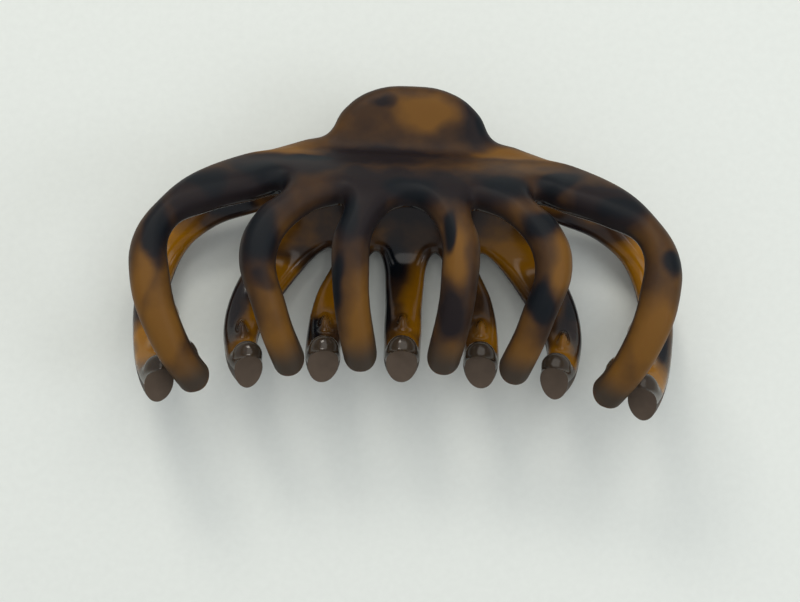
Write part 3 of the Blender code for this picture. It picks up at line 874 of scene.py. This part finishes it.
class CLIP_OT_torsion_spring(bpy.types.Operator):
    """Wind the torsion spring round the pin, with a leg under each thumb tab"""

    bl_idname = "clip.torsion_spring"
    bl_label = "Torsion spring"

    def execute(self, context):
        """Build the piece."""
        sizes = context.scene.clip_sizes
        sweep = 2.0 * math.pi * sizes.turns + math.pi - 2.0 * TAB_SLOPE
        half = (sizes.wire + TURN_GAP) * sweep / (4.0 * math.pi)
        share = np.linspace(0.0, 1.0, sizes.turns * TURN_POINTS)
        angle = math.pi / 2.0 + TAB_SLOPE + sweep * share
        coil = [Vector((half * (1.0 - 2.0 * part), sizes.coil_radius * math.cos(turn),
                        sizes.coil_radius * math.sin(turn))) for part, turn in zip(share, angle)]
        front_run = Vector((0.0, math.cos(TAB_SLOPE), math.sin(TAB_SLOPE))) * sizes.leg
        back_run = Vector((0.0, front_run.y, -front_run.z))
        path = [coil[0] + front_run * step for step in reversed(LEG_STEPS)] + coil
        path += [coil[-1] + back_run * step for step in LEG_STEPS]
        curve = bpy.data.curves.new("spring", "CURVE")
        curve.dimensions = "3D"
        curve.bevel_depth = sizes.wire / 2.0
        curve.bevel_resolution = 5
        curve.use_fill_caps = True
        spline = curve.splines.new("POLY")
        spline.points.add(len(path) - 1)
        for point, place in zip(spline.points, path):
            point.co = (*place, 1.0)
        mesh = mesh_from_curve(curve)
        mesh.shade_smooth()
        mesh.set_sharp_from_angle(angle=CRISP_STEEL)
        spring = place_piece("spring", mesh, plated_steel("nickel_plated_spring_wire_drawn", 0.30))
        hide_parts("torsion_spring")
        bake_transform(spring)
        return {"FINISHED"}


def add_lamp(name, place, aim, size, power, warmth):
    """A square soft lamp that looks at a point."""
    data = bpy.data.lights.new(name, "AREA")
    data.size = size
    data.energy = power
    data.color = linear(warmth)
    lamp = new_object(name, data)
    lamp.location = place
    lamp.rotation_euler = (Vector(aim) - Vector(place)).to_track_quat("-Z", "Y").to_euler()


class CLIP_OT_studio(bpy.types.Operator):
    """Lay a pale floor, and set up the lamps and the camera"""

    bl_idname = "clip.studio"
    bl_label = "Studio"

    def execute(self, context):
        """Build the stage."""
        studio = context.scene.clip_studio
        shape = bmesh.new()
        bmesh.ops.create_grid(shape, x_segments=FLOOR_CELLS, y_segments=FLOOR_CELLS,
                              size=FLOOR_REACH)
        mesh = bpy.data.meshes.new("floor")
        shape.to_mesh(mesh)
        shape.free()
        # Uncoated pressed paper: matt all over, so that it takes only soft shadows
        material, tree, shader = new_material("uncoated_paper_pressed", {"Roughness": 0.85})
        place = node(tree, "ShaderNodeTexCoord").outputs["Object"]
        # Paper fibre: soft marks 1.5 mm apart
        fibre = node(tree, "ShaderNodeTexNoise", {"Scale": 660.0, "Detail": 4.0},
                     {"Vector": place})
        paper = context.scene.clip_colours.paper
        tint = node(tree, "ShaderNodeValToRGB", links={"Fac": fibre.outputs["Fac"]})
        set_ramp(tint, [(0.3, tuple(part * PAPER_SHADE for part in paper)), (0.7, paper)])
        tree.links.new(tint.outputs[0], shader.inputs["Base Color"])
        mesh.materials.append(material)
        floor = new_object("floor", mesh)
        add_lamp("key", (-0.25, 0.60, 0.60), LAMP_AIM, 0.22, studio.key, "#fff8ee")
        add_lamp("softbox", (0.10, 0.30, 0.95), LAMP_AIM, 1.1, studio.softbox, "#fffaf2")
        add_lamp("fill", (0.65, -0.20, 0.60), LAMP_AIM, 0.35, studio.fill, "#f4f7ff")
        world = bpy.data.worlds.new("room")
        world.use_nodes = True
        room = world.node_tree.nodes["Background"]
        room.inputs["Color"].default_value = (*linear("#f2f3f5"), 1.0)
        room.inputs["Strength"].default_value = studio.sky
        context.scene.world = world
        context.scene.view_settings.view_transform = "Standard"
        self.add_camera(context, studio)
        return {"FINISHED"}

    def add_camera(self, context, studio):
        """Place the camera above the clip, leaning towards its prong tips."""
        back = Vector((0.0, -math.sin(studio.lean), math.cos(studio.lean)))
        up = Vector((0.0, math.cos(studio.lean), math.sin(studio.lean)))
        up = up * math.cos(studio.roll) + Vector((math.sin(studio.roll), 0.0, 0.0))
        up.normalize()
        right = up.cross(back)
        pose = Matrix((right, up, back)).transposed().to_4x4()
        pose.translation = Vector(studio.aim) + back * studio.distance
        data = bpy.data.cameras.new("camera")
        data.lens = studio.lens
        data.sensor_width = 36.0
        data.clip_start = 0.01
        camera = new_object("camera", data)
        camera.matrix_world = CLIP @ pose
        context.scene.camera = camera


class CLIP_PT_panel(bpy.types.Panel):
    """Claw clip"""

    bl_idname = "CLIP_PT_panel"
    bl_label = "Claw clip"
    bl_space_type = "VIEW_3D"
    bl_region_type = "UI"
    bl_category = "Claw clip"

    def draw(self, context):
        """List the operators and every size and colour."""
        for operator in OPERATORS:
            self.layout.operator(operator.bl_idname)
        for group in (context.scene.clip_sizes, context.scene.clip_colours,
                      context.scene.clip_studio):
            box = self.layout.box()
            for name in group.__annotations__:
                box.prop(group, name)


OPERATORS = (CLIP_OT_front_half, CLIP_OT_back_half, CLIP_OT_hinge_pin, CLIP_OT_torsion_spring,
             CLIP_OT_studio)
CLASSES = (ClipSizes, ClipColours, StudioSettings) + OPERATORS + (CLIP_PT_panel,)


def register():
    """Register the classes and their settings."""
    for kind in CLASSES:
        bpy.utils.register_class(kind)
    bpy.types.Scene.clip_sizes = PointerProperty(type=ClipSizes)
    bpy.types.Scene.clip_colours = PointerProperty(type=ClipColours)
    bpy.types.Scene.clip_studio = PointerProperty(type=StudioSettings)


def unregister():
    """Take the settings and the classes away again."""
    del bpy.types.Scene.clip_sizes
    del bpy.types.Scene.clip_colours
    del bpy.types.Scene.clip_studio
    for kind in reversed(CLASSES):
        bpy.utils.unregister_class(kind)


def main():
    """Build the whole clip and its stage."""
    register()
    bpy.ops.clip.front_half()
    bpy.ops.clip.back_half()
    bpy.ops.clip.hinge_pin()
    bpy.ops.clip.torsion_spring()
    bpy.ops.clip.studio()
    bpy.context.view_layer.update()


if __name__ == "__main__":
    main()
